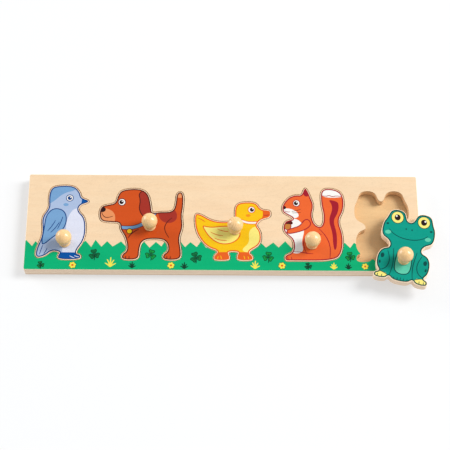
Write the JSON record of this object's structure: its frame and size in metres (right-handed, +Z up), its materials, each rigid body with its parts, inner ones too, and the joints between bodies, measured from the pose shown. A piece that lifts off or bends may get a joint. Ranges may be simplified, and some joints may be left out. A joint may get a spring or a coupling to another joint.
{
  "type": "peg puzzle",
  "caption": "Long wooden tray puzzle with shaped recesses and lift-out animal pieces, each with a turned round knob; one piece lies on the tray beside its empty recess.",
  "frame": {"origin": "middle of the tray's underside", "axes": "+X along the tray towards the frog's end, +Y to the back, towards the animals' crowns, +Z up"},
  "size_m": [0.4661, 0.1422, 0.0483],
  "materials": {
    "backing_wood": "plain plywood, clear varnish",
    "tray_wood": "pale plywood, satin clear varnish",
    "knob_wood": "turned wood, glossy clear varnish",
    "bird_print": "plywood printed light blue, satin varnish",
    "dog_print": "plywood printed red-brown, satin varnish",
    "duck_print": "plywood printed yellow, satin varnish",
    "squirrel_print": "plywood printed orange, satin varnish",
    "frog_print": "plywood printed teal, satin varnish",
    "screw_steel": "zinc-plated"
  },
  "bodies": {
    "tray": {"tray_base": "backing_wood", "tray_frame": "tray_wood"},
    "bird": {"bird_plate": "bird_print", "bird_knob": "knob_wood", "bird_screw": "screw_steel"},
    "dog": {"dog_plate": "dog_print", "dog_knob": "knob_wood", "dog_screw": "screw_steel"},
    "duck": {"duck_plate": "duck_print", "duck_knob": "knob_wood", "duck_screw": "screw_steel"},
    "squirrel": {"squirrel_plate": "squirrel_print", "squirrel_knob": "knob_wood", "squirrel_screw": "screw_steel"},
    "frog": {"frog_plate": "frog_print", "frog_knob": "knob_wood", "frog_screw": "screw_steel"}
  },
  "joints": [
    {"name": "bird_lift", "type": "slide", "parent": "tray", "child": "bird", "axis": [0, 0, 1], "range_m": [0, 0.06]},
    {"name": "dog_lift", "type": "slide", "parent": "tray", "child": "dog", "axis": [0, 0, 1], "range_m": [0, 0.06]},
    {"name": "duck_lift", "type": "slide", "parent": "tray", "child": "duck", "axis": [0, 0, 1], "range_m": [0, 0.06]},
    {"name": "squirrel_lift", "type": "slide", "parent": "tray", "child": "squirrel", "axis": [0, 0, 1], "range_m": [0, 0.06]},
    {"name": "frog_lift", "type": "slide", "parent": "tray", "child": "frog", "axis": [0, 0, 1], "range_m": [0, 0.06]}
  ]
}
